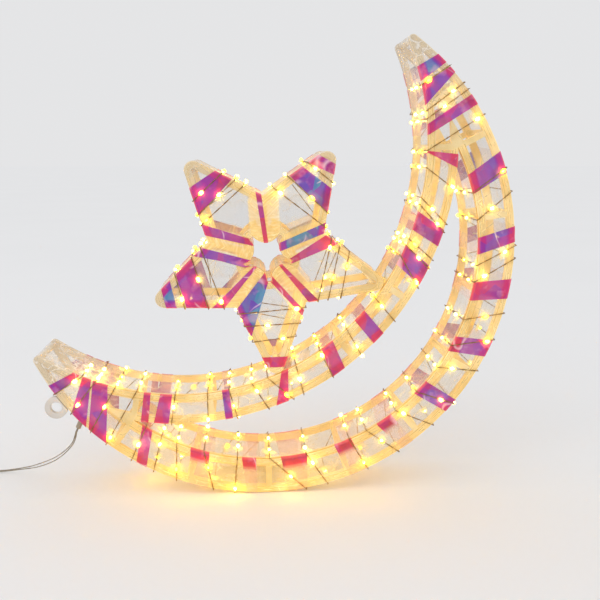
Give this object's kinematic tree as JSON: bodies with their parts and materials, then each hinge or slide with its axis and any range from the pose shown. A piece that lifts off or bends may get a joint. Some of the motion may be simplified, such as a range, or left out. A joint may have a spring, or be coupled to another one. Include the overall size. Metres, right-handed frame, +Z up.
{
  "type": "light-up crescent and star ornament",
  "caption": "Lit crescent moon with a star inside, clear film over plastic ladder frames, wound with a light wire, with a hanging eyelet and a battery box on a lead.",
  "frame": {"origin": "on the ground below the middle of the ornament's width, halfway through its depth", "axes": "+X to the ornament's right as seen from the front, +Y to the back, +Z up"},
  "size_m": [0.5837, 0.093, 0.3841],
  "materials": {
    "crescent_front_frame": "clear cast plastic lit warm from the lights",
    "crescent_rear_frame": "clear cast plastic lit warm from the lights",
    "crescent_posts": "clear cast plastic",
    "outer_bow_film": "clear film",
    "inner_bow_film": "clear film",
    "upper_tip_film": "clear film",
    "lower_tip_film": "clear film",
    "star_front_frame": "clear cast plastic lit warm from the lights",
    "star_rear_frame": "clear cast plastic lit warm from the lights",
    "star_posts": "clear cast plastic",
    "star_film": "clear film",
    "hanging_eyelet": "translucent plastic",
    "outer_bow_strips": "iridescent film, magenta to violet",
    "inner_bow_strips": "iridescent film, magenta to violet",
    "tip_strips": "iridescent film, magenta to violet",
    "star_strips": "iridescent film, magenta to blue",
    "outer_bow_wire": "enamelled copper wire",
    "inner_bow_wire": "enamelled copper wire",
    "upper_tip_wire": "enamelled copper wire",
    "lower_tip_wire": "enamelled copper wire",
    "star_wire": "enamelled copper wire",
    "outer_bow_leds": "clear resin bead, warm white",
    "inner_bow_leds": "clear resin bead, warm white",
    "tip_leds": "clear resin bead, warm white",
    "star_leds": "clear resin bead, warm white",
    "lead_sleeve": "shrink sleeve",
    "lead_free": "clear insulation over twin copper strands",
    "lead_coil": "clear insulation over twin copper strands",
    "lead_tail": "clear insulation over twin copper strands",
    "strain_relief": "moulded",
    "battery_box": "moulded",
    "battery_cover": "moulded",
    "power_switch": "moulded",
    "battery_cells": "plain printed sleeve",
    "cell_springs": "plated spring wire",
    "contact_plates": "plated sheet",
    "controller_board": "circuit board"
  },
  "bodies": {
    "ornament": {"crescent_front_frame": "crescent_front_frame", "crescent_rear_frame": "crescent_rear_frame", "crescent_posts": "crescent_posts", "outer_bow_film": "outer_bow_film", "inner_bow_film": "inner_bow_film", "upper_tip_film": "upper_tip_film", "lower_tip_film": "lower_tip_film", "star_front_frame": "star_front_frame", "star_rear_frame": "star_rear_frame", "star_posts": "star_posts", "star_film": "star_film", "hanging_eyelet": "hanging_eyelet", "outer_bow_strips": "outer_bow_strips", "inner_bow_strips": "inner_bow_strips", "tip_strips": "tip_strips", "star_strips": "star_strips", "outer_bow_wire": "outer_bow_wire", "inner_bow_wire": "inner_bow_wire", "upper_tip_wire": "upper_tip_wire", "lower_tip_wire": "lower_tip_wire", "star_wire": "star_wire", "outer_bow_leds": "outer_bow_leds", "inner_bow_leds": "inner_bow_leds", "tip_leds": "tip_leds", "star_leds": "star_leds", "lead_sleeve": "lead_sleeve", "lead_free": "lead_free", "lead_coil": "lead_coil", "lead_tail": "lead_tail", "strain_relief": "strain_relief", "battery_box": "battery_box", "battery_cells": "battery_cells", "cell_springs": "cell_springs", "contact_plates": "contact_plates", "controller_board": "controller_board"},
    "cover": {"battery_cover": "battery_cover"},
    "switch": {"power_switch": "power_switch"}
  },
  "joints": [
    {"name": "cover_slide", "type": "slide", "parent": "ornament", "child": "cover", "axis": [-1, 0, 0], "range_m": [0, 0.04]},
    {"name": "switch_slide", "type": "slide", "parent": "ornament", "child": "switch", "axis": [0, 1, 0], "range_m": [0, 0.004]}
  ]
}
